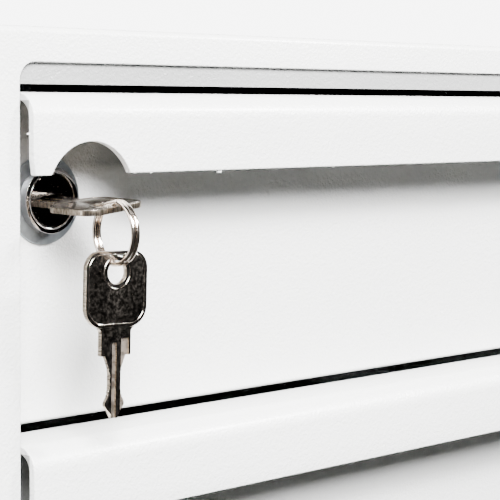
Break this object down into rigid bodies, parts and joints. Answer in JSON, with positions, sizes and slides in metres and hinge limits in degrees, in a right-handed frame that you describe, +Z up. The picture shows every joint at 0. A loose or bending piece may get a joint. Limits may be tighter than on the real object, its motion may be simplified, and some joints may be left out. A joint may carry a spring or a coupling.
{
  "type": "cash drawer",
  "caption": "White steel cash unit with stacked sliding drawers, folded pull lips, a cam lock with hanging keys, and a till insert with coin cups and sprung note clips.",
  "frame": {"origin": "on the floor, below the middle of the whole unit with its hanging keys", "axes": "+Z up, +Y from the drawer fronts towards the back panel, +X to the right seen from the front"},
  "size_m": [0.43, 0.457, 0.2684],
  "materials": {
    "white_paint": "white powder coat with a fine orange-peel texture",
    "grey_paint": "light grey powder coat, satin",
    "zinc_steel": "zinc plated steel, satin",
    "brass": "plain brass strip with steel balls",
    "black_rubber": "matt moulded rubber",
    "chrome": "bright chrome plate",
    "nickel": "nickel plated brass with a mottled, worn face",
    "black_plastic": "fine-grained moulded ABS",
    "grey_plastic": "fine-grained moulded ABS"
  },
  "bodies": {
    "casing": {"casing_shell": "white_paint", "casing_base": "grey_paint", "casing_back": "white_paint", "top_rail": "grey_paint", "strike_plate": "zinc_steel", "foot_front_left": "black_rubber", "foot_front_right": "black_rubber", "foot_rear_left": "black_rubber", "foot_rear_right": "black_rubber", "foot_screw_front_left": "zinc_steel", "foot_screw_front_right": "zinc_steel", "foot_screw_rear_left": "zinc_steel", "foot_screw_rear_right": "zinc_steel", "upright_front_left": "zinc_steel", "upright_front_right": "zinc_steel", "upright_rear_left": "zinc_steel", "upright_rear_right": "zinc_steel", "upper_outer_runner_left": "zinc_steel", "upper_outer_runner_right": "zinc_steel", "lower_outer_runner_left": "zinc_steel", "lower_outer_runner_right": "zinc_steel"},
    "upper_drawer": {"upper_drawer_front": "white_paint", "upper_drawer_body": "grey_paint", "upper_inner_runner_left": "zinc_steel", "upper_inner_runner_right": "zinc_steel", "lock_body": "chrome", "lock_rosette": "zinc_steel", "lock_nut": "zinc_steel", "till_tray": "black_plastic", "coin_tray": "grey_plastic", "clip_rod": "zinc_steel"},
    "upper_ball_cages": {"upper_ball_cage_left": "brass", "upper_ball_cage_right": "brass"},
    "lower_drawer": {"lower_drawer_front": "white_paint", "lower_drawer_body": "grey_paint", "lower_inner_runner_left": "zinc_steel", "lower_inner_runner_right": "zinc_steel", "lower_divider": "zinc_steel"},
    "lower_ball_cages": {"lower_ball_cage_left": "brass", "lower_ball_cage_right": "brass"},
    "lock_plug": {"lock_plug": "chrome", "lock_cam": "zinc_steel", "cam_screw": "zinc_steel"},
    "key": {"key": "nickel"},
    "key_ring": {"key_ring": "nickel"},
    "spare_key": {"spare_key": "nickel"},
    "note_clip_1": {"note_clip_1": "grey_plastic", "clip_spring_1": "zinc_steel"},
    "note_clip_2": {"note_clip_2": "grey_plastic", "clip_spring_2": "zinc_steel"},
    "note_clip_3": {"note_clip_3": "grey_plastic", "clip_spring_3": "zinc_steel"},
    "note_clip_4": {"note_clip_4": "grey_plastic", "clip_spring_4": "zinc_steel"}
  },
  "joints": [
    {"name": "upper_drawer_slide", "type": "slide", "parent": "casing", "child": "upper_drawer", "axis": [0, -1, 0], "range_m": [0, 0.25]},
    {"name": "upper_cage_slide", "type": "slide", "parent": "casing", "child": "upper_ball_cages", "axis": [0, -1, 0], "range_m": [0, 0.125]},
    {"name": "lower_drawer_slide", "type": "slide", "parent": "casing", "child": "lower_drawer", "axis": [0, -1, 0], "range_m": [0, 0.25]},
    {"name": "lower_cage_slide", "type": "slide", "parent": "casing", "child": "lower_ball_cages", "axis": [0, -1, 0], "range_m": [0, 0.125]},
    {"name": "lock_turn", "type": "hinge", "parent": "upper_drawer", "child": "lock_plug", "pos_m": [-0.1751, -0.206, 0.2126], "axis": [0, -1, 0], "range_deg": [-6.3, 83.7]},
    {"name": "key_pull", "type": "slide", "parent": "lock_plug", "child": "key", "axis": [0, -1, 0], "range_m": [0, 0.03]},
    {"name": "ring_swing", "type": "hinge", "parent": "key", "child": "key_ring", "pos_m": [-0.1751, -0.21769, 0.21135], "axis": [0.0732, 0.9973, 0], "range_deg": [-12, 12]},
    {"name": "spare_key_swing", "type": "hinge", "parent": "key_ring", "child": "spare_key", "pos_m": [-0.1756, -0.21769, 0.19367], "axis": [0.0732, 0.9973, 0], "range_deg": [-20, 20]},
    {"name": "note_clip_1_lift", "type": "hinge", "parent": "upper_drawer", "child": "note_clip_1", "pos_m": [-0.13672, 0.1709, 0.187], "axis": [-1, 0, 0], "range_deg": [0, 95], "stiffness_Nm_per_rad": 0.01, "springref_deg": -22.92},
    {"name": "note_clip_2_lift", "type": "hinge", "parent": "upper_drawer", "child": "note_clip_2", "pos_m": [-0.04557, 0.1709, 0.187], "axis": [-1, 0, 0], "range_deg": [0, 95], "stiffness_Nm_per_rad": 0.01, "springref_deg": -22.92},
    {"name": "note_clip_3_lift", "type": "hinge", "parent": "upper_drawer", "child": "note_clip_3", "pos_m": [0.04557, 0.1709, 0.187], "axis": [-1, 0, 0], "range_deg": [0, 95], "stiffness_Nm_per_rad": 0.01, "springref_deg": -22.92},
    {"name": "note_clip_4_lift", "type": "hinge", "parent": "upper_drawer", "child": "note_clip_4", "pos_m": [0.13672, 0.1709, 0.187], "axis": [-1, 0, 0], "range_deg": [0, 95], "stiffness_Nm_per_rad": 0.01, "springref_deg": -22.92}
  ],
  "couplings": [
    {"joint": "upper_cage_slide", "follows": "upper_drawer_slide", "ratio": 0.5},
    {"joint": "lower_cage_slide", "follows": "lower_drawer_slide", "ratio": 0.5}
  ]
}
